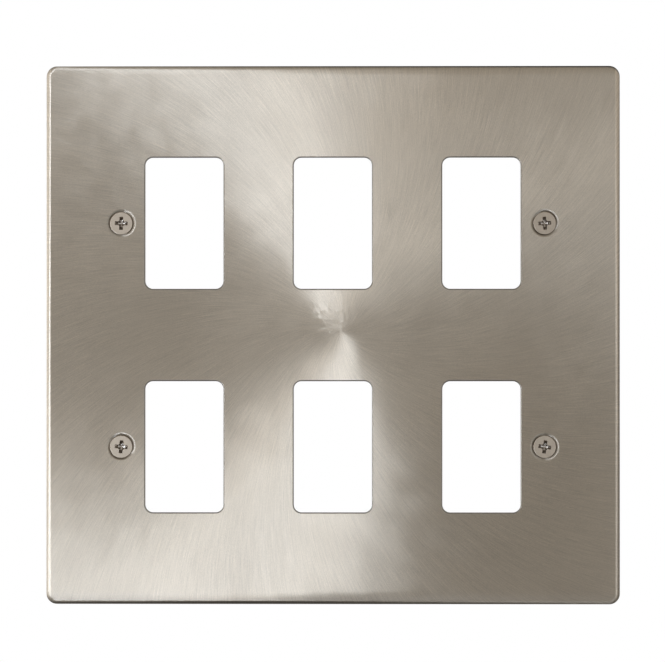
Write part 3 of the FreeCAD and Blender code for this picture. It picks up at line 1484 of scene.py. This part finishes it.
@dataclass
class Studio:
    """A pale floor, soft light and the camera, in metres.

    Args:
        front_light: Light of the surroundings in front of the plate.
        front_tint: Its colour.
        low_light: The same light from far below.
        front_span: Height of a direction, from low_light to front_light.
        behind_span: Depth of a direction, from the front's light to the white behind the plate.
        floor_z: Height of the floor.
        floor_side: Its side.
        floor_grey: How pale it is.
        floor_glow: White that the eye and mirrored rays get on top.
        lens: Focal length of the camera, in millimetres.
        camera_place: Its place.
        camera_turn: Its turn, in degrees.
        shift: Its shift, as a share of the picture's width.
        lamps: The lamps.
        flags: The dark cards.
    """

    front_light: float = 0.6302
    front_tint: tuple[float, float, float] = (1.0, 0.957, 0.898)
    low_light: float = 0.02
    front_span: tuple[float, float] = (-0.5, 0.1)
    behind_span: tuple[float, float] = (0.05, 0.45)
    floor_z: float = -0.45
    floor_side: float = 3.2
    floor_grey: float = 0.9
    floor_glow: float = 0.6
    lens: float = 148.1
    camera_place: tuple[float, float, float] = (0.0070, -0.700, -0.0035)
    camera_turn: tuple[float, float, float] = (90.18, 0.0, 0.59)
    shift: tuple[float, float] = (0.0005, 0.0138)
    lamps: list[Softbox] = field(default_factory=list)
    flags: list[Flag] = field(default_factory=list)

    def world(self) -> None:
        """Makes the surroundings: white to the eye and behind the plate, grey in front of it."""
        world = bpy.data.worlds.new("studio")
        bpy.context.scene.world = world
        world.use_nodes = True
        wiring = Wiring(world.node_tree)
        path = wiring.node("ShaderNodeLightPath").outputs
        direction = wiring.node("ShaderNodeTexCoord").outputs["Generated"]
        heading = wiring.node("ShaderNodeSeparateXYZ", Vector=direction)
        behind = wiring.ramp(heading.outputs["Y"], *self.behind_span, 0.0, 1.0)
        mirrored = wiring.math("MAXIMUM", path["Is Glossy Ray"], path["Is Transmission Ray"])
        shown = wiring.math("MAXIMUM", path["Is Camera Ray"], wiring.math("MULTIPLY", mirrored, behind))
        front = wiring.ramp(heading.outputs["Z"], *self.front_span, self.low_light, self.front_light)
        tone = wiring.node("ShaderNodeMix", Factor=shown)
        tone.data_type = "RGBA"
        # The node's colours are its inputs 6 and 7 and its output 2.
        wiring.feed(tone.inputs[6], (*self.front_tint, 1.0))
        wiring.feed(tone.inputs[7], (1.0, 1.0, 1.0, 1.0))
        background = world.node_tree.nodes["Background"]
        wiring.feed(background.inputs["Strength"], wiring.ramp(shown, 0.0, 1.0, front, 1.0))
        wiring.feed(background.inputs["Color"], tone.outputs[2])

    def floor(self) -> None:
        """Adds the plain pale floor."""
        material = bpy.data.materials.new("floor paper")
        material.use_nodes = True
        wiring = Wiring(material.node_tree)
        shader = material.node_tree.nodes["Principled BSDF"]
        shader.inputs["Base Color"].default_value = (self.floor_grey, self.floor_grey, self.floor_grey, 1)
        shader.inputs["Roughness"].default_value = 0.9
        path = wiring.node("ShaderNodeLightPath").outputs
        mirrored = wiring.math("MAXIMUM", path["Is Glossy Ray"], path["Is Transmission Ray"])
        shown = wiring.math("MAXIMUM", path["Is Camera Ray"], mirrored)
        shader.inputs["Emission Color"].default_value = (1, 1, 1, 1)
        wiring.feed(shader.inputs["Emission Strength"], wiring.math("MULTIPLY", shown, self.floor_glow))
        sized = Matrix.Diagonal((self.floor_side, self.floor_side, 1, 1))
        lay = Matrix.Translation((0, 0, self.floor_z)) @ sized
        floor = flat_card("floor", lay, material)

    def camera(self) -> None:
        """Adds the camera where the photographer stood."""
        data = bpy.data.cameras.new("camera")
        data.lens = self.lens
        data.sensor_width = 36.0
        data.shift_x, data.shift_y = self.shift
        data.clip_start = 0.01
        data.clip_end = 20.0
        camera = bpy.data.objects.new("camera", data)
        bpy.context.collection.objects.link(camera)
        camera.location = self.camera_place
        camera.rotation_euler = Euler([math.radians(angle) for angle in self.camera_turn])
        bpy.context.scene.camera = camera

    def build(self) -> None:
        """Builds the whole studio."""
        self.world()
        self.floor()
        self.camera()
        for piece in self.lamps + self.flags:
            piece.build()
        bpy.context.scene.view_settings.view_transform = "Standard"
        log.info("studio: %d lamps, %d flags", len(self.lamps), len(self.flags))


def main() -> None:
    """Builds the object and the studio in order."""
    logging.basicConfig(level=logging.INFO, format="%(message)s")
    plate = PressedPlate()
    lay = SwirlLay()
    effects = Effects(strokes=lay.strokes_group(), clouds=mottle_group())
    rim = (plate.width / 2 - plate.edge_roll, plate.height / 2 - plate.edge_roll)
    axis = plate.screw_axis(plate.spots[1])
    brushed = BrushedNickel(lay, rim, axis, plate.seat_radius).material(effects)
    back = PlainNickel("back nickel", (0.56, 0.53, 0.48), 0.42).material(effects)
    # The punched edges' nickel is painted far darker than the face, as painted shade along the apertures'
    # edges.
    punched = PlainNickel("punched nickel", (0.21, 0.188, 0.158), 0.32).material(effects)
    recess = PlainNickel("recess nickel", (0.36, 0.32, 0.275), 0.26).material(effects)
    plate.build([brushed, back, punched])
    screw_nickel = ScrewNickel(axis).material(effects)
    for spot in plate.spots:
        FixingScrew().build(spot, plate.screw_axis(spot), [screw_nickel, recess])
    lamps = [
        Softbox(
            "left wall",
            seen_from_plate(-0.6855, -0.1088, 0.3177),
            width=0.98,
            height=0.33,
            radiance=0.8897,
            tint=(0.875, 0.917, 1.0),
        ),
        Softbox(
            "left strip",
            seen_from_plate(-0.264, -0.1092, 0.756),
            width=0.025,
            height=0.3548,
            radiance=71.4,
            tint=(0.705, 0.818, 1.0),
        ),
        Softbox(
            "front strip",
            seen_from_plate(-0.01246, 0.02196, 0.3006),
            width=0.025,
            height=0.1178,
            radiance=5.623,
            tint=(0.833, 0.895, 1.0),
        ),
        Softbox(
            "right box",
            seen_from_plate(0.2703, -0.1054, 0.746),
            width=0.35,
            height=0.418,
            radiance=1.539,
            tint=(0.758, 0.853, 1.0),
        ),
    ]
    flags = [
        Flag("flag below", (0.0, -0.2, -0.43), (0, 0, 1), width=1.6, length=2.0, grey=0.12),
        Flag("flag above", (0.0, 0.22, 0.20), (0, 0, -1), width=1.0, length=0.5, grey=0.06),
        Flag("flag right", (0.30, 0.12, 0.0), (-1, 0, 0), width=0.5, length=0.6, grey=0.24),
    ]
    Studio(lamps=lamps, flags=flags).build()


if __name__ == "__main__":
    main()
